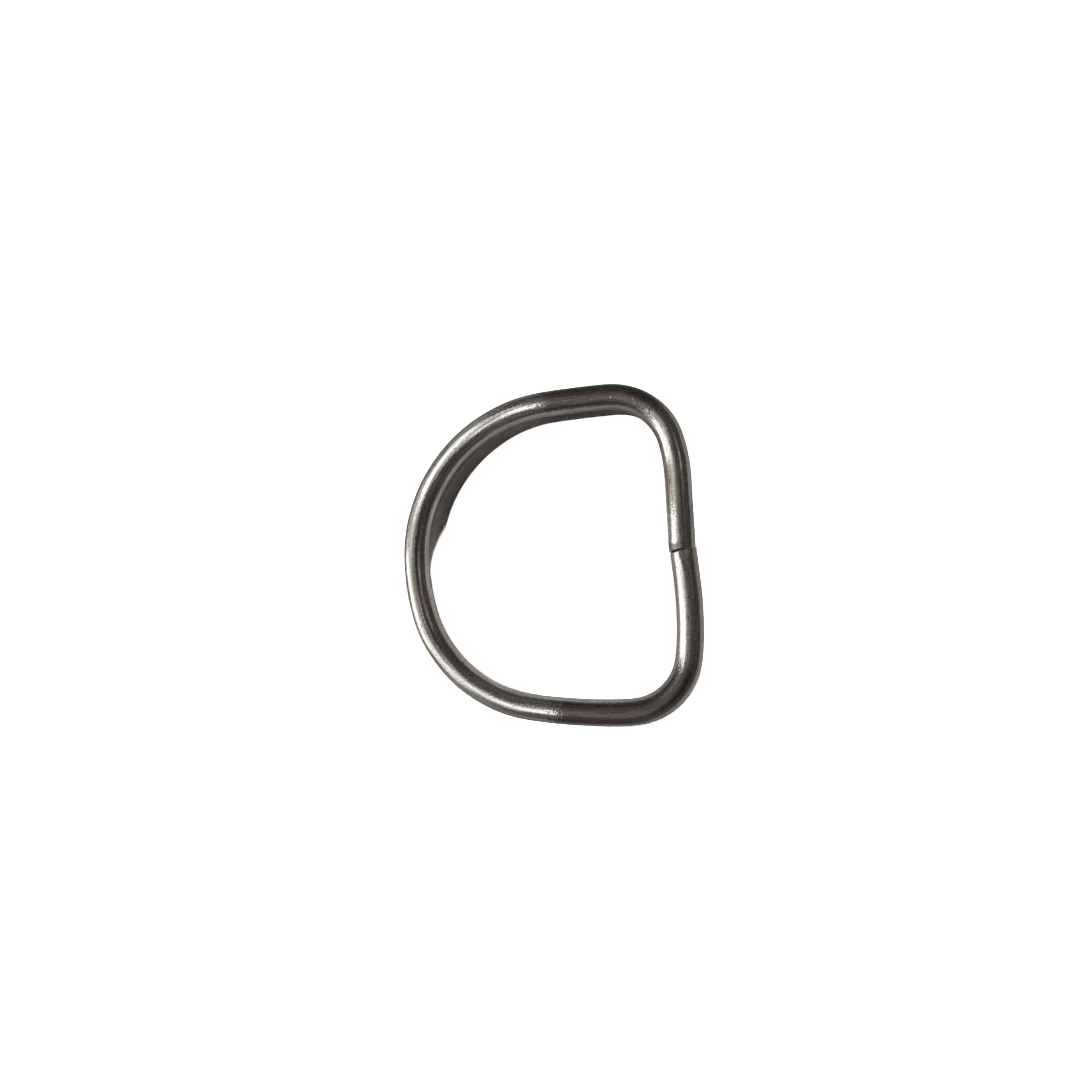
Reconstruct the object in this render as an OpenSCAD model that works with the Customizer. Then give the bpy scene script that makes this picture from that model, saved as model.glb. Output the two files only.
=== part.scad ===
// D ring of bent round wire, butt welded in the middle of its straight bar.
// Sizes are in millimetres and angles in degrees.
// The ring lies flat: +Z is up, the bar runs along Y on the +X side, the bow is on the -X side.
// The origin is at the middle of the outline, on the face the ring lies on.

/* [Wire] */
// Diameter of the round wire
wire_d = 4.8; // [3:0.1:6]

/* [Clear opening] */
// Clear width between the two arms, along the bar
inside_w = 52.4; // [46:0.2:60]
// Clear depth from the +Y bar half's end at the weld to the middle of the bow
inside_d = 44.5; // [41:0.1:48]
// How far the weld sits from the middle of the width, towards +Y
weld_offset = -0.6; // [-2:0.05:2]
// How far the middle of the bow sits from the middle of the width, towards +Y
bow_offset = 0.95; // [-2:0.05:2]

/* [Bow] */
// Radius of the flatter stretch at the crown, to the wire's centre
crown_r = 42; // [30:1:60]
// Angle that the flatter stretch turns, on the -Y side of the crown
crown_turn = 13; // [4:1:20]
// Angle that the +Y arm turns between the bow and its corner
arm_a_turn = 2; // [1.5:0.5:8]
// Angle that the -Y arm turns between the bow and its corner
arm_b_turn = 10; // [4:0.5:14]

/* [Corners] */
// Inside radius of the +Y corner
corner_a_r = 9; // [4:0.1:11]
// Inside radius of the -Y corner
corner_b_r = 8.3; // [4:0.1:11]

/* [Bar] */
// Radius of the easy bend between the +Y corner and its bar half, to the wire's centre
ease_a_r = 30; // [20:1:50]
// Angle of that +Y bend
ease_a_turn = 14; // [6:0.5:18]
// Radius of the easy bend between the -Y corner and its bar half, to the wire's centre
ease_b_r = 65; // [20:1:80]
// Angle of that -Y bend
ease_b_turn = 11.5; // [6:0.5:16]
// Lean of the +Y bar half in towards the weld
lean_a = 1; // [0.5:0.1:4]
// Lean of the -Y bar half in towards the weld
lean_b = 3; // [0.5:0.1:5]

/* [Weld] */
// How far the -Y bar half's end stands out past the +Y half's end
weld_step = 0.15; // [0:0.01:0.3]
// Bevel round the end of each bar half, left as a groove where the weld doesn't fill it
end_bevel = 0.3; // [0.1:0.05:0.5]
// How far the weld metal stays below the wire's surface
weld_sink = 0.1; // [0.05:0.01:0.25]
// How far the weld metal sits towards the outer side of the bar, from the middle of both ends
weld_shift = 0.08; // [0:0.01:0.2]
// Depth of the dressed flat at the weld, on the -Y bar half
flat_depth = 0.2; // [0.05:0.01:0.4]
// Length of the dressed flat from the weld
flat_len = 3.3; // [2:0.1:5]
// Turn of the dressed flat round the bar, from the top towards the outer side
flat_roll = 8; // [-20:1:30]

/* [Hidden] */
$fn = 96;
wire_r = wire_d / 2;
depth = inside_d + wire_d;
height_a = (inside_w + wire_d) / 2 - weld_offset;
height_b = (inside_w + wire_d) / 2 + weld_offset;
bow_rise = bow_offset - weld_offset;
steel = [0.60, 0.58, 0.56];
// Every second stretch is a hair thinner and runs a little way into its neighbours, so all of them fuse
thin_r = wire_r - 0.01;
lap = 0.2;

// Step along a right-hand arc of radius 1 from heading a to heading b
function arc_step(a, b) = [sin(a) - sin(b), cos(b) - cos(a)];

// Steps along the crown, the corner and the easy bend of one half
function crown_step(crown) = crown_r * arc_step(90, 90 - crown);
function corner_step(corner_r, ease_turn, lean) = (corner_r + wire_r) * arc_step(0, ease_turn - lean - 90);
function ease_step(ease_r, ease_turn, lean) = ease_r * arc_step(ease_turn - lean - 90, -lean - 90);

// Where the straight bar half starts, with the weld at the origin and the bar running up Y
function bar_start(height, turn_steps, lean, step) =
    let (y = height + turn_steps.y) [step + y * tan(lean), y];

// Radii of the shoulder and the arm that close the half
function closing_radii(height, crown, arm, turn_steps, lean, rise, step) =
    let (
        shoulder = arc_step(90 - crown, arm),
        along = arc_step(arm, 0),
        start = bar_start(height, turn_steps, lean, step),
        gap_x = start.x + depth - turn_steps.x - crown_step(crown).x,
        gap_y = height - rise - crown_step(crown).y,
        det = shoulder.x * along.y - along.x * shoulder.y
    )
    [(gap_x * along.y - along.x * gap_y) / det, (shoulder.x * gap_y - gap_x * shoulder.y) / det];

// Furthest that the bar's centreline bulges out past the weld
function bulge(height, turn_steps, ease_r, lean, step) =
    bar_start(height, turn_steps, lean, step).x + ease_r * (1 - cos(lean));

turns_a = corner_step(corner_a_r, ease_a_turn, lean_a) + ease_step(ease_a_r, ease_a_turn, lean_a);
turns_b = corner_step(corner_b_r, ease_b_turn, lean_b) + ease_step(ease_b_r, ease_b_turn, lean_b);
bar_out = max(
    bulge(height_a, turns_a, ease_a_r, lean_a, 0),
    bulge(height_b, turns_b, ease_b_r, lean_b, weld_step)
);

// Wire bent to the right from a start point, heading and turn, run on past both ends by an arc length
module bend(start, heading, turn, radius, section_r, run_on) {
    more = run_on / radius * 180 / PI;
    translate([start.x + radius * sin(heading), start.y - radius * cos(heading), 0])
        rotate([0, 0, heading - turn + 90 - more])
            rotate_extrude(angle = turn + 2 * more)
                translate([radius, 0])
                    circle(r = section_r);
}

module thick_bend(start, heading, turn, radius) {
    bend(start, heading, turn, radius, wire_r, 0);
}

module thin_bend(start, heading, turn, radius) {
    bend(start, heading, turn, radius, thin_r, lap);
}

// Straight bar half with a bevelled end, rising from the weld along Y and leaning outwards
module bar_half(length, lean) {
    rotate([-90, 0, -lean])
        union() {
            cylinder(r1 = thin_r - end_bevel, r2 = thin_r, h = end_bevel);
            translate([0, 0, end_bevel])
                cylinder(r = thin_r, h = length + lap - end_bevel);
        }
}

// Half of the ring, from the shoulder of the bow round to the weld at the origin.
// The middle of the bow lies at rise along the bar, and the bar's end at step out from the origin.
module half_ring(height, crown, arm, corner_r, ease_r, ease_turn, lean, turn_steps, rise, step) {
    radii = closing_radii(height, crown, arm, turn_steps, lean, rise, step);
    crown_end = [-depth, rise] + crown_step(crown);
    shoulder_end = crown_end + radii[0] * arc_step(90 - crown, arm);
    arm_end = shoulder_end + radii[1] * arc_step(arm, 0);
    corner_end = arm_end + corner_step(corner_r, ease_turn, lean);
    thin_bend(crown_end, 90 - crown, 90 - crown - arm, radii[0]);
    thick_bend(shoulder_end, arm, arm, radii[1]);
    thin_bend(arm_end, 0, 90 + lean - ease_turn, corner_r + wire_r);
    thick_bend(corner_end, ease_turn - lean - 90, ease_turn, ease_r);
    translate([step, 0, 0])
        bar_half(norm(bar_start(height, turn_steps, lean, 0)), lean);
}

// Weld metal that joins the two bevelled ends
module weld_metal() {
    translate([weld_step / 2 + weld_shift, 0, 0])
        sphere(r = wire_r - weld_sink);
}

// Space above the flat that was dressed on the -Y bar half beside the weld
module dressed_off() {
    translate([weld_step, 0, 0])
        rotate([0, flat_roll, 0])
            translate([0, 0, wire_r - flat_depth])
                rotate([-atan(flat_depth / flat_len), 0, 0])
                    translate([-wire_r, -2 * flat_len, 0])
                        cube([wire_d, 2 * flat_len, wire_r]);
}

module d_ring() {
    color(steel)
        translate([(depth - bar_out) / 2, weld_offset, wire_r])
            difference() {
                union() {
                    half_ring(height_a, 0, arm_a_turn, corner_a_r, ease_a_r, ease_a_turn,
                        lean_a, turns_a, bow_rise, 0);
                    mirror([0, 1, 0])
                        half_ring(height_b, crown_turn, arm_b_turn, corner_b_r, ease_b_r, ease_b_turn,
                            lean_b, turns_b, -bow_rise, weld_step);
                    mirror([0, 1, 0])
                        thick_bend([-depth, -bow_rise], 90, crown_turn, crown_r);
                    weld_metal();
                }
                dressed_off();
            }
}

d_ring();
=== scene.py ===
"""Looks of the D ring: one swept wire of bright drawn steel, on a pale floor in soft light.

Sizes of the ring are in millimetres and are turned into metres where the mesh is made.
The ring lies flat, its bar runs along Y on the +X side and its bow is on the -X side.
The way along the wire starts at the weld, runs down the -Y bar half and round the bow, and
ends at the weld again. Round the wire, 0 degrees is outwards and 90 degrees is up.
"""

import math

import bpy
import numpy as np
from mathutils import Matrix, Vector


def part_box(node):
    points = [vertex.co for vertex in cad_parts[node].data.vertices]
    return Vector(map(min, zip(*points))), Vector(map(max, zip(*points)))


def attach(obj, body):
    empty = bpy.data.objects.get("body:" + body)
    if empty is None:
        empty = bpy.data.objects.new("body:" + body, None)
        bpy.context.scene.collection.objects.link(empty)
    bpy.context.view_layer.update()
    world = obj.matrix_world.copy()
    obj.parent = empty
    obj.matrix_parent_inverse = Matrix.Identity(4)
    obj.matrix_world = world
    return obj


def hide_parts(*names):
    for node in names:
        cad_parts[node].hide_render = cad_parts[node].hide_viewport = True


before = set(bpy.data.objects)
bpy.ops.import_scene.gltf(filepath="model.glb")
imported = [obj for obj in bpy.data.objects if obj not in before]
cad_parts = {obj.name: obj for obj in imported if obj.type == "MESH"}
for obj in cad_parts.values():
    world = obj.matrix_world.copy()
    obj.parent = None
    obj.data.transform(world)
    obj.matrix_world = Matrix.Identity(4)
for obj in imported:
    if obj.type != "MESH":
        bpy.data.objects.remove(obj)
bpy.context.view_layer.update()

MM = 0.001
PICTURE = 1080          # pixels along each side of the picture
SENSOR = 36.0           # camera sensor, in millimetres

# ---------------------------------------------------------------- sizes of the ring
WIRE_R = 2.4
DEPTH = 49.3            # weld to the middle of the bow, between centres
HEIGHT_A = 29.2         # weld to the middle of the +Y arm
HEIGHT_B = 28.0         # weld to the middle of the -Y arm
BOW_RISE = 1.55         # the bow's middle past the weld, towards +Y
CROWN = (13.0, 42.0)    # flatter stretch of the bow: turn in degrees, radius
ARM_A, ARM_B = 2.0, 10.0                    # turn of each arm, in degrees
CORNER_A, CORNER_B = 11.4, 10.7             # corner radius
EASE_A, EASE_B = (14.0, 30.0), (11.5, 65.0)  # easy bend between corner and bar: turn, radius
LEAN_A, LEAN_B = 1.0, 3.0                   # lean of each bar half, in degrees
SOFT_WELD, SOFT_REST = 0.3, 1.4  # way over which bends run into each other, at the weld, elsewhere
SOFT_FROM, SOFT_OVER = 3.0, 2.0  # the first changes into the second from here, over this way

# ---------------------------------------------------------------- sizes at the weld
STEP = 0.15             # the -Y bar half's end stands out past the +Y half's end
STEP_WIDTH = 0.08       # way along the wire that the step takes
END_ROUND = 0.35        # rounding of the two butted wire ends
SLANT = 0.32            # how far the joint runs off square, at the outer side of the bar
METAL_SINK = 0.10       # weld metal below the wire's surface
METAL_SHIFT = 0.12      # weld metal sits towards the outer side
DRESS_DEPTH = 0.07      # light dressing of the +Y half's end
DRESS_LENGTH = 1.2
DRESS_SIDE = 0.625      # outward share of the radius: none further out, all of it this far inwards
FLAT_DEPTH = 0.23       # dressed flat on the -Y half
FLAT_LENGTH = 3.6
FLAT_ANGLE = 88.0       # direction that the flat faces, in degrees
FLAT_OVERLAP = 0.05     # how far it reaches past the joint
FLAT_FACING = 0.5       # it stays where the surface faces its way, by at least this cosine

# ---------------------------------------------------------------- where the wire is not quite round
OVAL = 0.09             # oval stretch where the +Y arm was bent: departure from round
OVAL_AT = 54.0          # its middle's way from the weld
OVAL_REACH = 7.0        # its reach to each side
OVAL_ANGLE = 55.0       # direction that it bulges in, in degrees
WAVE_SEED, WAVE_COUNT = 7, 10
WAVE_NUMBERS = (4, 22)  # least and most waves along the wire
WAVE_ROUND = 4          # fewer waves than this round it
WAVE_HEIGHTS = (0.003, 0.006)

# ---------------------------------------------------------------- spacing of the vertices
AROUND = 72             # vertices round the wire
CENTRE_SPACING = 0.02   # between points of the centreline
FINE_REACH, FINE_SPACING = 1.5, 0.03        # nearest the weld
MIDDLE_REACH, MIDDLE_SPACING = 5.0, 0.08
COARSE_SPACING = 0.21


# ---------------------------------------------------------------- centreline
def arc_step(a, b):
    """Step along a right-hand arc of radius 1 from heading a to heading b, in degrees."""
    a, b = math.radians(a), math.radians(b)
    return np.array([math.sin(a) - math.sin(b), math.cos(b) - math.cos(a)])


def half_chain(height, rise, step, crown, arm, corner, ease, lean):
    """Bends of one half, from bow to weld, as (turn in degrees, radius), and its bar's length."""
    ease_turn, ease_r = ease
    ease_start = ease_turn - lean - 90
    turns = corner * arc_step(0, ease_start) + ease_r * arc_step(ease_start, -lean - 90)
    crown_step = CROWN[1] * arc_step(90, 90 - crown)
    shoulder, along = arc_step(90 - crown, arm), arc_step(arm, 0)
    bar_y = height + turns[1]
    bar_x = bar_y * math.tan(math.radians(lean))
    gap_x = step + bar_x + DEPTH - turns[0] - crown_step[0]
    gap_y = height - rise - crown_step[1]
    # the shoulder and the arm take the radii that close the half
    shoulder_r, arm_r = np.linalg.solve(np.column_stack([shoulder, along]), [gap_x, gap_y])
    bends = [(90 - crown - arm, shoulder_r), (arm, arm_r), (-ease_start, corner), (ease_turn, ease_r)]
    return bends, math.hypot(bar_x, bar_y)


def stretches():
    """The whole wire as (turn in degrees, length), from the -Y bar half round to the +Y half."""
    bends_a, bar_a = half_chain(HEIGHT_A, BOW_RISE, 0.0, 0.0, ARM_A, CORNER_A, EASE_A, LEAN_A)
    bends_b, bar_b = half_chain(HEIGHT_B, -BOW_RISE, STEP, CROWN[0], ARM_B, CORNER_B, EASE_B, LEAN_B)
    bends = bends_b[::-1] + [CROWN] + bends_a
    arcs = [(turn, math.radians(turn) * radius) for turn, radius in bends]
    return [(0.0, bar_b)] + arcs + [(0.0, bar_a)]


def softened(heading, reach, spacing):
    """Heading along the wire, averaged over a bell-shaped reach."""
    half = int(4 * reach / spacing)
    bell = np.exp(-0.5 * (np.arange(-half, half + 1) * spacing / reach) ** 2)
    return np.convolve(heading, bell / bell.sum(), "same")


def centreline():
    """Way, x, y and heading along the wire, from the -Y half's end at the weld to the +Y half's."""
    turns, lengths = np.array(stretches()).T
    total = lengths.sum()
    knots_s = np.concatenate([[0.0], np.cumsum(lengths)])
    knots_h = LEAN_B - 90.0 - np.concatenate([[0.0], np.cumsum(turns)])
    count = int(round(total / CENTRE_SPACING))
    spacing = total / count
    s = np.arange(count) * spacing
    # the heading runs on past both ends, so that it can be softened round the whole ring
    wide = np.arange(-count, 2 * count) * spacing
    lap = np.floor(wide / total)
    heading = np.interp(wide - lap * total, knots_s, knots_h) - lap * 360.0
    rest = np.clip((np.minimum(s, total - s) - SOFT_FROM) / SOFT_OVER, 0, 1)
    heading = softened(heading, SOFT_WELD, spacing), softened(heading, SOFT_REST, spacing)
    at_weld, elsewhere = (values[count:2 * count] for values in heading)
    heading = np.radians(at_weld * (1 - rest) + elsewhere * rest)
    following = np.roll(heading, -1)
    following[-1] -= 2 * math.pi
    x = np.concatenate([[0], np.cumsum(np.cos((heading + following) / 2))]) * spacing
    y = np.concatenate([[0], np.cumsum(np.sin((heading + following) / 2))]) * spacing
    # the run starts STEP further out than it ends
    share = np.arange(count + 1) / count
    x, y = x - share * (x[-1] + STEP) + STEP, y - share * y[-1]
    return np.append(s, total), x, y, np.append(heading, heading[0] - 2 * math.pi)


def stations(total):
    """Places along the wire, close together near the weld."""
    fine = np.arange(-FINE_REACH, FINE_REACH, FINE_SPACING)
    middle = np.arange(FINE_REACH, MIDDLE_REACH, MIDDLE_SPACING)
    coarse_count = int((total - 2 * MIDDLE_REACH) / COARSE_SPACING)
    coarse = np.linspace(MIDDLE_REACH, total - MIDDLE_REACH, coarse_count)
    first, last = fine[fine >= 0], total + fine[fine < 0]
    return np.concatenate([first, middle, coarse, total - middle[::-1], last])


# ---------------------------------------------------------------- shape of the wire's surface
# In these functions w is the way along the wire from the weld, and plane the way from the slanted
# joint, both signed: + on the -Y half.
def smooth(x):
    x = np.clip(x, 0, 1)
    return x * x * (3 - 2 * x)


def from_joint(w, theta):
    return w + SLANT * np.cos(theta)


def slight_waves(w, theta, total):
    """Sum of a few random waves along and round the wire."""
    rng = np.random.default_rng(WAVE_SEED)
    along = rng.uniform(*WAVE_NUMBERS, WAVE_COUNT) * rng.choice([-1, 1], WAVE_COUNT)
    around = rng.integers(0, WAVE_ROUND, WAVE_COUNT)
    phase = rng.uniform(0, 2 * math.pi, WAVE_COUNT)
    height = rng.uniform(*WAVE_HEIGHTS, WAVE_COUNT)
    return sum(h * np.cos(2 * math.pi * a * w / total + b * theta + p)
               for a, b, p, h in zip(np.round(along), around, phase, height))


def weld_groove(plane, theta):
    """Depth of the groove between the rounded ends. The weld metal fills the inner side least."""
    from_end = 1 - np.clip(np.abs(plane) / END_ROUND, 0, 1)
    rounding = END_ROUND * (1 - np.sqrt(1 - from_end ** 2))
    metal = METAL_SINK - METAL_SHIFT * np.cos(theta)
    return np.maximum(np.minimum(rounding, metal), 0)


def light_dressing(plane, theta):
    """Depth dressed off the last millimetre of the +Y half, mostly on its inner side."""
    near_end = smooth(1 + plane / DRESS_LENGTH) * (plane < 0)
    return DRESS_DEPTH * near_end * smooth(0.5 - np.cos(theta) / (2 * DRESS_SIDE))


def oval_stretch(w, theta):
    """Height of the oval stretch above the round wire."""
    fading = np.exp(-((w + OVAL_AT) / OVAL_REACH) ** 2)
    return OVAL * fading * np.cos(2 * (theta - math.radians(OVAL_ANGLE)))


def flat_radius(plane, theta):
    """Radius of the dressed flat on the -Y half, and no limit elsewhere."""
    facing = np.cos(theta - math.radians(FLAT_ANGLE))
    on = (plane > -FLAT_OVERLAP) & (plane < FLAT_LENGTH) & (facing > FLAT_FACING)
    depth = FLAT_DEPTH * (1 - plane / FLAT_LENGTH)
    return np.where(on, (WIRE_R - depth) / np.maximum(facing, FLAT_FACING), np.inf)


def surface_radius(w, theta, total):
    plane = from_joint(w, theta)
    rounded = WIRE_R + slight_waves(w, theta, total) + oval_stretch(w, theta)
    rounded -= weld_groove(plane, theta) + light_dressing(plane, theta)
    return np.minimum(rounded, flat_radius(plane, theta))


def surface_points(at, s, x, y, heading, theta):
    """Points of the wire's surface, one row for each place along the wire."""
    total = s[-1]
    cx, cy, h = (np.interp(at, s, values)[:, None] for values in (x, y, heading))
    w, theta = np.meshgrid(np.where(at > total / 2, at - total, at), theta, indexing="ij")
    r = surface_radius(w, theta, total)
    # the step between both ends lies at the slanted joint
    shift = STEP * (smooth(from_joint(w, theta) / STEP_WIDTH + 0.5) - (w >= 0))
    px = cx + shift - np.sin(h) * r * np.cos(theta)
    py = cy + np.cos(h) * r * np.cos(theta)
    pz = r * np.sin(theta) + WIRE_R
    # the outline's lowest corner lies on the corner of the CAD model's box
    lo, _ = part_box("d_ring")
    px += lo.x / MM - px.min()
    py += lo.y / MM - py.min()
    return np.stack([px, py, pz], -1) * MM


def ring_mesh():
    """Mesh of the ring, and the length of its wire."""
    s, x, y, heading = centreline()
    total = s[-1]
    at = stations(total)
    theta = np.linspace(0, 2 * math.pi, AROUND, endpoint=False)
    points = surface_points(at, s, x, y, heading, theta)
    rows = len(at)
    i, j = np.meshgrid(np.arange(rows), np.arange(AROUND), indexing="ij")
    i2, j2 = (i + 1) % rows, (j + 1) % AROUND
    corners = [i * AROUND + j, i * AROUND + j2, i2 * AROUND + j2, i2 * AROUND + j]
    quads = np.stack(corners, -1).reshape(-1, 4)
    me = bpy.data.meshes.new("wire_ring")
    me.from_pydata(points.reshape(-1, 3).tolist(), [], quads.tolist())
    me.polygons.foreach_set("use_smooth", np.ones(len(quads), bool))
    # corner values: way along the unrolled wire, and the place in its section
    way = np.append(at, total)
    way = np.stack([way[i], way[i], way[i + 1], way[i + 1]], -1)
    angle = np.stack([theta[j], theta[j2], theta[j2], theta[j]], -1)
    wire = np.stack([way, WIRE_R * np.cos(angle), WIRE_R * np.sin(angle)], -1).astype(np.float32)
    me.attributes.new("wire", "FLOAT_VECTOR", "CORNER").data.foreach_set("vector", wire.ravel())
    me.update()
    return me, total


# ---------------------------------------------------------------- node helpers
def put(tree, socket, value):
    """Link an output to a socket, or set its value. Colours are given without alpha."""
    if isinstance(value, bpy.types.NodeSocket):
        tree.links.new(value, socket)
    elif value is not None:
        socket.default_value = (*value, 1) if socket.type == "RGBA" else value


def add(tree, kind, inputs=(), **settings):
    node = tree.nodes.new("ShaderNode" + kind)
    for name, value in settings.items():
        setattr(node, name, value)
    for name, value in dict(inputs).items():
        put(tree, node.inputs[name], value)
    return node


def maths(tree, operation, a, b=None):
    return add(tree, "Math", {0: a, 1: b}, operation=operation).outputs[0]


def times(tree, product, *factors):
    for factor in factors:
        product = maths(tree, "MULTIPLY", product, factor)
    return product


def dot(tree, a, b):
    return add(tree, "VectorMath", {0: a, 1: b}, operation="DOT_PRODUCT").outputs["Value"]


def degrees(tree, value):
    return times(tree, value, 180 / math.pi)


def ramp(tree, value, low, high, to_low=0.0, to_high=1.0):
    """Smooth step of a value from low to high."""
    places = {"Value": value, "From Min": low, "From Max": high, "To Min": to_low, "To Max": to_high}
    return add(tree, "MapRange", places, interpolation_type="SMOOTHSTEP").outputs[0]


def slab(tree, value, rise, fall):
    """1 between two soft edges, each given as where it is 0 and where it is 1."""
    return times(tree, ramp(tree, value, *rise), ramp(tree, value, *fall))


def band(tree, value, low, low_edge, high, high_edge):
    """1 between low and high, falling to 0 outside over an edge to each side of them."""
    return slab(tree, value, (low - low_edge, low + low_edge), (high + high_edge, high - high_edge))


def mixed(tree, factor, a, b, blend="MIX"):
    node = add(tree, "Mix", {0: factor}, data_type="RGBA", blend_type=blend)
    put(tree, node.inputs[6], a)
    put(tree, node.inputs[7], b)
    return node.outputs[2]


# ---------------------------------------------------------------- steel
# Noise on the wire: (scale along it, scale round it, detail, roughness)
DIE_LINES = (0.12, 4.2, 3.0, 0.6)
PATCHES = (0.12, 0.35, 3.0, 0.5)
GRAIN = (2.9, 2.9, 3.0, 0.65)
SPECKS = (3.6, 3.6, 1.0, 0.5)
NICKS = (0.9, 1.9, 1.0, 0.5)
SAND = (5.2, 5.2, 0.0, 0.5)

# What the noise does: (noise from, to, the value at the first, at the second)
PATCH_TONE = (0.35, 0.75, 0.0, 1.0)         # share of the darker steel
GRAIN_ROUGH = (0.3, 0.8, 0.09, 0.20)
PATCH_ROUGH = (0.4, 0.7, 0.0, 0.05)         # added to the one above
SPECK_WORN = (0.71, 0.76, 0.0, 1.0)         # coats are worn through here
COAT_RAGGED = (0.3, 0.7, -2.0, 2.0)         # raggedness of the coats' ends, in millimetres
WELD_RAGGED = (0.3, 0.7, -0.2, 0.2)         # the same at the weld
LINE_SHADE = (0.3, 0.7, 0.62, 1.18)
GRAIN_SHADE = (0.3, 0.7, 0.78, 1.12)
NICK_SHADE = (0.31, 0.25, 1.0, 0.5)
LINE_BUMP, GRAIN_BUMP, SAND_BUMP = 0.7, 0.8, 0.25
BUMP_STRENGTH, BUMP_HEIGHT = 0.8, 0.03 * MM

LIGHT_STEEL, DARK_STEEL = (0.62, 0.60, 0.576), (0.52, 0.49, 0.456)

# Thin coats on the steel, some of them painted shade that dims what it mirrors, each over the one
# before:
# (stretch, sides, colour, roughness). The stretch is the way along the wire from, its soft edge, to
# and its soft edge. The sides are outward shares of the wire's radius: where the coat starts, where
# it is full, where it thins and where it ends.
# painted shade on the top of both bar halves spans these sides
BAR_TOP_SHADE_SIDES = (-0.36, -0.12, 0.10, 0.50)
ARM_TOP = (-0.86, -0.64, 0.70, 0.90)
COATS_AND_PAINTED_SHADE = [
    # painted shade: a dark tone that keeps the light frame's reflection off the top of the -Y bar
    # half
    ((-9.0, 1.0, 36.0, 3.0), BAR_TOP_SHADE_SIDES, (0.172, 0.147, 0.146), 0.42),
    # on the -Y corner: painted shade, a dark rough tone that dims the highlights it would mirror
    ((20.5, 1.5, 36.0, 4.0), (-0.90, -0.66, 0.30, 0.60), (0.085, 0.078, 0.072), 0.36),
    # -Y arm
    ((31.0, 4.0, 47.8, 1.2), ARM_TOP, (0.140, 0.112, 0.108), 0.46),
    # on the bow: painted shade, a dimmer tone so that it mirrors the same light less brightly than
    # the bar does
    ((73.0, 3.0, 101.0, 3.0), (-0.45, -0.28, 0.24, 0.50), (0.335, 0.325, 0.295), 0.14),
    # a tinge on the bow
    ((79.0, 2.5, 85.0, 2.5), (-0.65, -0.45, 0.00, 0.25), (0.420, 0.340, 0.345), 0.20),
    # +Y arm
    ((131.2, 2.0, 154.0, 3.0), ARM_TOP, (0.138, 0.112, 0.106), 0.46),
    # greenish outer side of the +Y arm
    ((134.0, 3.0, 150.0, 3.0), (0.10, 0.45, 0.70, 0.90), (0.150, 0.152, 0.118), 0.40),
    # dulled inner side of the +Y bar half
    ((163.5, 1.5, 172.5, 1.0), (-0.95, -0.80, -0.25, -0.05), (0.300, 0.285, 0.240), 0.22),
    # painted shade: a dark tone that keeps the light frame's reflection off the top of the +Y bar
    # half
    ((157.0, 4.0, 190.0, 1.0), BAR_TOP_SHADE_SIDES, (0.180, 0.147, 0.132), 0.42),
]
# a streak left out of the painted shade on the +Y bar half, so that the small lamp's reflection shows
# there
STREAK_WAY = (158.0, 2.0, 165.5, 2.0)       # a bare streak in the coats of the +Y bar half
STREAK_SIDES = (0.25, 0.12, 0.50, 0.12)

# Marks at the weld, by the way from the slanted joint and the outward share of the wire's radius.
# A pair of numbers says where a mark ends and where it is full.
DRESSED = (0.21, 0.20, 0.185)               # last millimetre of the +Y half
DRESSED_WAY = (-1.15, 0.22, 0.4, 0.1)
DRESSED_STOP = (0.0, -0.05)
DRESSED_MIDDLE, DRESSED_BEND = -0.52, 5.76  # it bends away from the weld on both sides of here
DRESSED_SIDE = (0.45, -0.15)
DRESSED_ROUGH = 0.42
FLAT_FRESH, FLAT_WORN = (0.225, 0.212, 0.172), (0.19, 0.16, 0.145)  # at the joint, at its end
FLAT_FADE = (1.0, 2.6)                      # way from the joint between those two
FLAT_EDGE = (-0.03, 0.03)                   # height above the plane of the flat
FLAT_START = (-0.12, 0.0)
FLAT_ROUGH = 0.48
CRACK = (0.015, 0.013, 0.012)
CRACK_WAY = (0.13, 0.06)
CRACK_SIDE = (0.30, -0.05)
CRACK_ROUGH = 0.6


def surface_noise(tree, wire, along, around, detail, roughness):
    place = add(tree, "Mapping", {"Vector": wire, "Scale": (along, around, around)}).outputs[0]
    return add(tree, "TexNoise", {"Vector": place, "Scale": 1.0, "Detail": detail,
                                  "Roughness": roughness}).outputs["Fac"]


def coat(tree, state, weight, colour, rough):
    """Lay a coat over the colour and roughness so far."""
    tone, roughness = state
    blend = add(tree, "Mix", {0: weight, 2: roughness, 3: rough}).outputs[0]
    return mixed(tree, weight, tone, colour), blend


def bare_steel(tree, grain, patches):
    """Colour and roughness under the coats."""
    tone = mixed(tree, ramp(tree, patches, *PATCH_TONE), LIGHT_STEEL, DARK_STEEL)
    rough = maths(tree, "ADD", ramp(tree, grain, *GRAIN_ROUGH), ramp(tree, patches, *PATCH_ROUGH))
    return tone, rough


def with_coats_and_painted_shade(tree, state, along, share, grain, specks):
    """Lay the coats and the painted shade, with ragged ends and worn through in specks."""
    # the streak is kept out of the painted shade, so the small lamp's reflection shows through it
    streak = times(tree, band(tree, along, *STREAK_WAY), band(tree, share, *STREAK_SIDES))
    worn_specks_and_streak = maths(tree, "MAXIMUM", ramp(tree, specks, *SPECK_WORN), streak)
    kept = maths(tree, "SUBTRACT", 1.0, worn_specks_and_streak)
    ragged = maths(tree, "ADD", along, ramp(tree, grain, *COAT_RAGGED))
    for stretch, (starts, full, thins, ends), colour, roughness in COATS_AND_PAINTED_SHADE:
        sides = slab(tree, share, (starts, full), (ends, thins))
        weight = times(tree, sides, band(tree, ragged, *stretch), kept)
        state = coat(tree, state, weight, colour, roughness)
    return state


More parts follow.
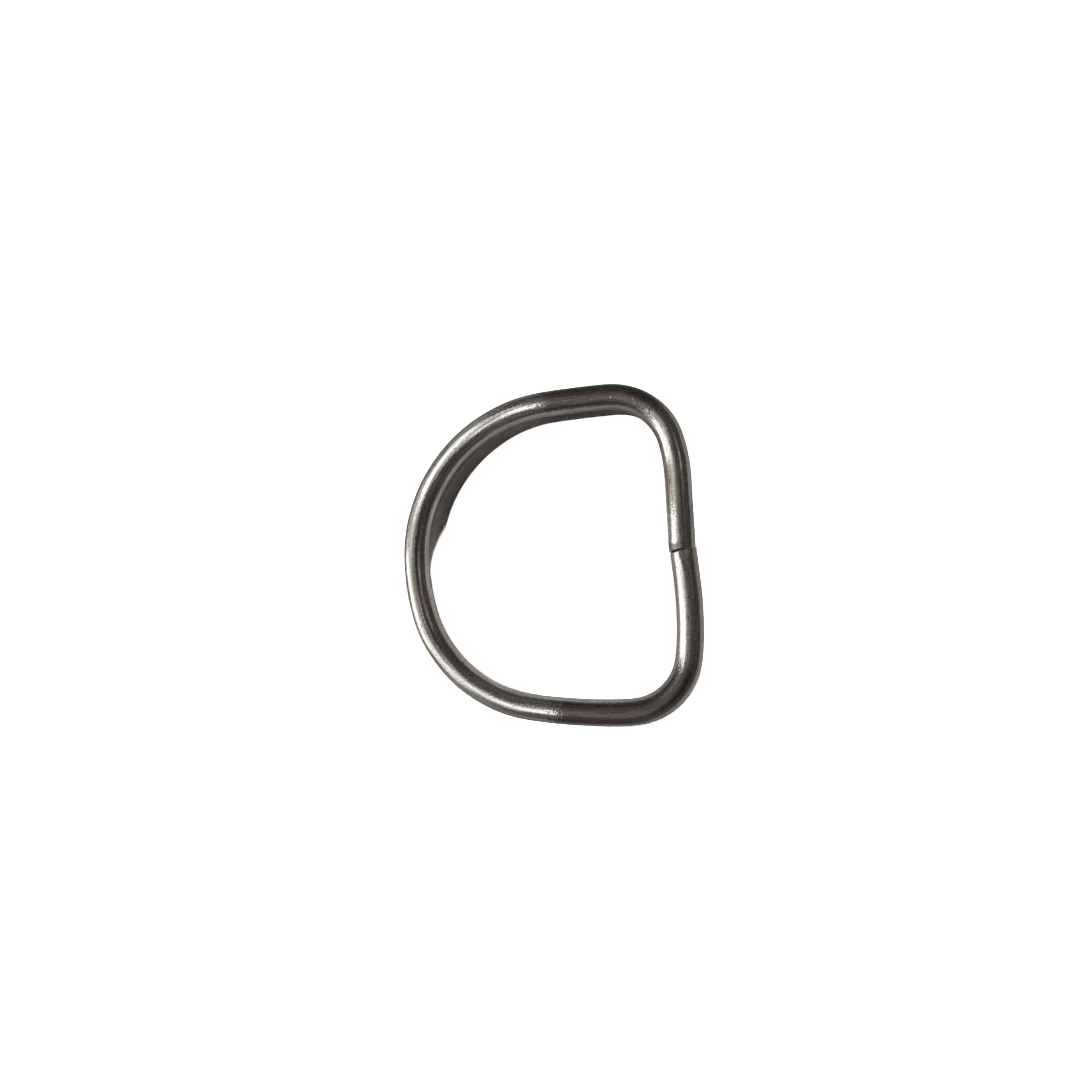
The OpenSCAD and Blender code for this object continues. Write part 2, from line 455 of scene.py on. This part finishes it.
def with_dressed_end(tree, state, plane, ragged, share):
    aside = maths(tree, "POWER", maths(tree, "SUBTRACT", share, DRESSED_MIDDLE), 2.0)
    bent = maths(tree, "ADD", ragged, times(tree, aside, DRESSED_BEND))
    weight = times(tree, band(tree, bent, *DRESSED_WAY), ramp(tree, plane, *DRESSED_STOP),
                   ramp(tree, share, *DRESSED_SIDE))
    return coat(tree, state, weight, DRESSED, DRESSED_ROUGH)


def with_flat(tree, state, plane, ragged, wire):
    angle = math.radians(FLAT_ANGLE)
    facing = dot(tree, wire, (0, math.cos(angle), math.sin(angle)))
    level = maths(tree, "ADD", WIRE_R - FLAT_DEPTH, times(tree, ragged, FLAT_DEPTH / FLAT_LENGTH))
    above = maths(tree, "SUBTRACT", facing, level)
    weight = times(tree, ramp(tree, above, *FLAT_EDGE), ramp(tree, plane, *FLAT_START))
    colour = mixed(tree, ramp(tree, plane, *FLAT_FADE), FLAT_FRESH, FLAT_WORN)
    return coat(tree, state, weight, colour, FLAT_ROUGH)


def with_crack(tree, state, plane, share):
    weight = times(tree, ramp(tree, maths(tree, "ABSOLUTE", plane), *CRACK_WAY),
                   ramp(tree, share, *CRACK_SIDE))
    return coat(tree, state, weight, CRACK, CRACK_ROUGH)


def with_weld(tree, state, wire, along, share, grain, total):
    """Lay the marks at the weld."""
    past_middle = maths(tree, "GREATER_THAN", along, total / 2)
    w = maths(tree, "SUBTRACT", along, times(tree, past_middle, total))
    plane = maths(tree, "ADD", w, times(tree, share, SLANT))
    ragged = maths(tree, "ADD", plane, ramp(tree, grain, *WELD_RAGGED))
    state = with_dressed_end(tree, state, plane, ragged, share)
    state = with_flat(tree, state, plane, ragged, wire)
    return with_crack(tree, state, plane, share)


def steel_material(total):
    mat = bpy.data.materials.new("bright_drawn_steel")
    mat.use_nodes = True
    tree = mat.node_tree
    shader = tree.nodes["Principled BSDF"]
    wire = add(tree, "Attribute", attribute_name="wire").outputs["Vector"]
    along, outward = add(tree, "SeparateXYZ", {0: wire}).outputs[:2]
    share = maths(tree, "DIVIDE", outward, WIRE_R)
    lines, patches, grain, specks, nicks, sand = (
        surface_noise(tree, wire, *noise)
        for noise in (DIE_LINES, PATCHES, GRAIN, SPECKS, NICKS, SAND))
    state = bare_steel(tree, grain, patches)
    state = with_coats_and_painted_shade(tree, state, along, share, grain, specks)
    tone, rough = with_weld(tree, state, wire, along, share, grain, total)
    shade = times(tree, ramp(tree, lines, *LINE_SHADE), ramp(tree, grain, *GRAIN_SHADE),
                  ramp(tree, nicks, *NICK_SHADE))
    grey = add(tree, "CombineXYZ", {0: shade, 1: shade, 2: shade}).outputs[0]
    put(tree, shader.inputs["Base Color"], mixed(tree, 1.0, tone, grey, "MULTIPLY"))
    put(tree, shader.inputs["Roughness"], rough)
    shader.inputs["Metallic"].default_value = 1.0
    height = maths(tree, "ADD", times(tree, lines, LINE_BUMP), times(tree, grain, GRAIN_BUMP))
    height = maths(tree, "ADD", height, times(tree, sand, SAND_BUMP))
    bump = add(tree, "Bump", {"Height": height, "Strength": BUMP_STRENGTH, "Distance": BUMP_HEIGHT})
    put(tree, shader.inputs["Normal"], bump.outputs[0])
    return mat


# ---------------------------------------------------------------- floor
FLOOR_HALF = 4.0                            # half of its side, in metres
FLOOR_SEEN = (3.8, 3.7, 3.6)                # overexposed, as in the photograph
FLOOR_GLOW = (0.05, 0.046, 0.042)           # what the ring mirrors of it, besides the lit floor
# painted pool of light: the floor that the ring mirrors is paler within the ring than outside it
FLOOR_INSIDE, FLOOR_OUTSIDE = (0.62, 0.60, 0.58), (0.33, 0.32, 0.31)  # as the ring mirrors it
FLOOR_CHANGE = (22 * MM, 28 * MM)           # from the middle of the ring, between those two


def floor_material():
    """Pale paper for the camera; where the ring mirrors it, mid-grey with a painted pool of light,
    brighter within the ring.
    """
    mat = bpy.data.materials.new("pale_floor")
    mat.use_nodes = True
    tree = mat.node_tree
    seen = add(tree, "LightPath").outputs["Is Camera Ray"]
    place = add(tree, "NewGeometry").outputs["Position"]
    away = add(tree, "VectorMath", {0: place}, operation="LENGTH").outputs["Value"]
    # painted pool of light, brighter within the ring, for what the ring mirrors
    mirrored_with_painted_pool = mixed(tree, ramp(tree, away, *FLOOR_CHANGE), FLOOR_INSIDE, FLOOR_OUTSIDE)
    paper = add(tree, "BsdfDiffuse", {"Color": mixed(tree, seen, mirrored_with_painted_pool, FLOOR_SEEN)}).outputs[0]
    glow = add(tree, "Emission", {"Color": mixed(tree, seen, FLOOR_GLOW, (0, 0, 0))}).outputs[0]
    both = add(tree, "AddShader", {0: paper, 1: glow}).outputs[0]
    put(tree, tree.nodes["Material Output"].inputs["Surface"], both)
    tree.nodes.remove(tree.nodes["Principled BSDF"])
    return mat


def make_floor():
    me = bpy.data.meshes.new("floor")
    a = FLOOR_HALF
    me.from_pydata([(-a, -a, 0), (a, -a, 0), (a, a, 0), (-a, a, 0)], [], [(0, 1, 2, 3)])
    ob = bpy.data.objects.new("floor", me)
    bpy.context.scene.collection.objects.link(ob)
    me.materials.append(floor_material())


# ---------------------------------------------------------------- light
# What the bright steel mirrors. Azimuth is counted from +X and zenith from straight up, in degrees.
DARK_ROOM = ((0.098, 0.087, 0.078), (0.082, 0.070, 0.064))  # overhead, and towards the horizon
ROOM_CHANGE = (30, 75)                      # zenith of the first and of the second
# Soft boxes: (azimuth from, to, soft edge, zenith from, soft edge, to, soft edge, colour)
DIM_WALLS = [  # on the +Y side, on the -Y side, and two low ones beyond the bow
    (68, 150, 30, 10, 6, 84, 40, (0.130, 0.128, 0.118)),
    (215, 296, 40, 6, 6, 84, 40, (0.165, 0.150, 0.145)),
    (120, 172, 16, 44, 20, 100, 6, (0.38, 0.39, 0.39)),
    (204, 236, 16, 50, 20, 100, 6, (0.30, 0.29, 0.28)),
]
WHITE, DIM_WHITE = (2.8, 2.8, 2.8), (1.7, 1.7, 1.7)
WINDOWS = [  # beyond the bow, to the -Y side, to the +Y side and in the middle
    (194, 219, 14, 42, 12, 72, 24, DIM_WHITE),
    (150, 171, 14, 54, 16, 86, 16, (0.95, 0.91, 0.80)),
    (171, 202, 4, 52, 16, 96, 6, WHITE),
]
# A small lamp: (azimuth, zenith, half size, soft edge, colour)
SPOT = (22, 33, 3.5, 3.5, (1.0, 0.95, 0.9))

# A light frame on the ceiling, open in the middle and running away towards -X. Its places are
# counted along the ceiling (+X) and across it (+Y), as shares of its height above the ring. Each
# soft edge says where it is 0 and where it is 1.
CEILING_LOWEST = 0.02                       # least height taken, as a share of the distance
FRAME_START = (-0.055, -0.105)
FRAME_SKEW = (0.6, -0.15)  # share of the way across that shifts its start, and the least way counted
FRAME_SIDES = ((-0.80, -0.55), (0.08, -0.05))  # the +Y one is measured after the slant
FRAME_SLANT = 1.08                          # its +Y side shifts by this share of the way along
FRAME_END = (59, 46)                        # zenith where it fades
OPEN_START = (-0.24, -0.31)                 # the opening in its middle
OPEN_SIDES = ((-0.22, -0.10), (0.22, 0.13))
GAP_START = (-0.10, -0.15)                  # a gap in its near bar
GAP_SIDES = ((-0.06, -0.01), (0.17, 0.10))
IN_FRAME = ((0.14, 0.131, 0.118), (2.2, 2.15, 2.08))  # seen through both, overhead and lower down
IN_FRAME_CHANGE = (18, 56)                  # zenith of the first and of the second
DIM_ACROSS, DIM_ALONG = (0.03, -0.07), (-0.15, -0.24)  # its far part on the -Y side is dimmer

BACKDROP = (1.0, 1.0, 1.0)
FLOOR_SHADE = (0.0015, 0.0008, 0.0010)      # soft light on the floor where no lamp reaches
LAMPS = [  # (name, azimuth, zenith, strength, width of its disc in degrees)
    ("main_lamp", 160.0, 33.0, 1.35, 3.0),
    ("side_lamp", 80.0, 66.0, 2.1, 3.0),
    ("low_fill", 318.0, 86.4, 13.5, 1.0),
]


def towards(azimuth, zenith):
    a, z = math.radians(azimuth), math.radians(zenith)
    return math.sin(z) * math.cos(a), math.sin(z) * math.sin(a), math.cos(z)


def with_boxes(tree, light, azimuth, zenith, boxes):
    """Lay soft boxes over the light so far, half of each edge inside and half outside."""
    for az0, az1, az_edge, z0, z0_edge, z1, z1_edge, colour in boxes:
        inside = times(tree, band(tree, azimuth, az0, az_edge / 2, az1, az_edge / 2),
                       band(tree, zenith, z0, z0_edge / 2, z1, z1_edge / 2))
        light = mixed(tree, inside, light, colour)
    return light


def with_ceiling_frame(tree, light, x, y, z, zenith):
    height = maths(tree, "MAXIMUM", z, CEILING_LOWEST)
    along, across = maths(tree, "DIVIDE", x, height), maths(tree, "DIVIDE", y, height)
    skew, limit = FRAME_SKEW
    skewed = maths(tree, "ADD", along, times(tree, maths(tree, "MAXIMUM", across, limit), skew))
    slanted = maths(tree, "ADD", across, times(tree, along, FRAME_SLANT))
    inside = times(tree, ramp(tree, skewed, *FRAME_START), ramp(tree, across, *FRAME_SIDES[0]),
                   ramp(tree, slanted, *FRAME_SIDES[1]), ramp(tree, zenith, *FRAME_END))
    opening = times(tree, ramp(tree, along, *OPEN_START), slab(tree, across, *OPEN_SIDES))
    gap = times(tree, ramp(tree, along, *GAP_START), slab(tree, across, *GAP_SIDES))
    behind = mixed(tree, ramp(tree, zenith, *IN_FRAME_CHANGE), *IN_FRAME)
    dim = times(tree, ramp(tree, across, *DIM_ACROSS), ramp(tree, along, *DIM_ALONG))
    white = mixed(tree, dim, WHITE, DIM_WHITE)
    colour = mixed(tree, maths(tree, "MAXIMUM", opening, gap), white, behind)
    return mixed(tree, inside, light, colour)


def with_spot(tree, light, way):
    azimuth, zenith, half, edge, colour = SPOT
    off = degrees(tree, maths(tree, "ARCCOSINE", dot(tree, way, towards(azimuth, zenith))))
    return mixed(tree, ramp(tree, off, half + edge, half), light, colour)


def mirrored_room(tree):
    """Colour of the room for a direction, as the steel mirrors it."""
    way = add(tree, "TexCoord").outputs["Generated"]
    x, y, z = add(tree, "SeparateXYZ", {0: way}).outputs
    # azimuth measured so that its jump lies on the +X side
    turn = maths(tree, "ARCTAN2", times(tree, y, -1.0), times(tree, x, -1.0))
    azimuth = maths(tree, "ADD", degrees(tree, turn), 180.0)
    zenith = degrees(tree, maths(tree, "ARCCOSINE", z))
    light = mixed(tree, ramp(tree, zenith, *ROOM_CHANGE), *DARK_ROOM)
    light = with_boxes(tree, light, azimuth, zenith, DIM_WALLS)
    light = with_ceiling_frame(tree, light, x, y, z, zenith)
    light = with_boxes(tree, light, azimuth, zenith, WINDOWS)
    return with_spot(tree, light, way)


def make_lamp(name, azimuth, zenith, strength, width):
    """Lamp for the floor and the shadow, left out of what the steel mirrors."""
    lamp = bpy.data.lights.new(name, "SUN")
    lamp.energy = strength
    lamp.angle = math.radians(width)
    ob = bpy.data.objects.new(name, lamp)
    ob.rotation_euler = Vector(towards(azimuth, zenith)).to_track_quat("Z", "Y").to_euler()
    ob.visible_glossy = False
    bpy.context.scene.collection.objects.link(ob)


def studio_light():
    world = bpy.context.scene.world or bpy.data.worlds.new("studio")
    bpy.context.scene.world = world
    world.use_nodes = True
    world.cycles.sampling_method = "NONE"
    tree = world.node_tree
    path = add(tree, "LightPath").outputs
    light = mixed(tree, path["Diffuse Depth"], mirrored_room(tree), FLOOR_SHADE)
    background = tree.nodes["Background"]
    put(tree, background.inputs["Color"], mixed(tree, path["Is Camera Ray"], light, BACKDROP))
    background.inputs["Strength"].default_value = 1.0
    for lamp in LAMPS:
        make_lamp(*lamp)


# ---------------------------------------------------------------- camera
CAMERA_AT = (25.787, -12.97, 150.0)         # millimetres
CAMERA_AIM = (-1.585, 3.446, 0.0)
CAMERA_ROLL = -3.287                        # degrees
CAMERA_CLIP = (0.005, 20.0)                 # metres
FOCAL_PIXELS = 820.38


def make_camera():
    data = bpy.data.cameras.new("camera")
    data.sensor_width = SENSOR
    data.lens = FOCAL_PIXELS / PICTURE * SENSOR
    data.clip_start, data.clip_end = CAMERA_CLIP
    cam = bpy.data.objects.new("camera", data)
    bpy.context.scene.collection.objects.link(cam)
    ahead = (Vector(CAMERA_AIM) - Vector(CAMERA_AT)).normalized()
    level = ahead.cross(Vector((0, 1, 0))).normalized()
    upright = level.cross(ahead)
    cos, sin = math.cos(math.radians(CAMERA_ROLL)), math.sin(math.radians(CAMERA_ROLL))
    right, up = level * cos + upright * sin, upright * cos - level * sin
    place = Matrix((right, up, -ahead)).transposed().to_4x4()
    place.translation = Vector(CAMERA_AT) * MM
    cam.matrix_world = place
    bpy.context.scene.camera = cam


make_camera()
make_floor()
studio_light()
mesh, wire_length = ring_mesh()
ring = bpy.data.objects.new("wire_ring", mesh)
bpy.context.scene.collection.objects.link(ring)
ring.data.materials.append(steel_material(wire_length))
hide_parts("d_ring")
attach(ring, "root")

bpy.context.scene.view_settings.view_transform = "Standard"
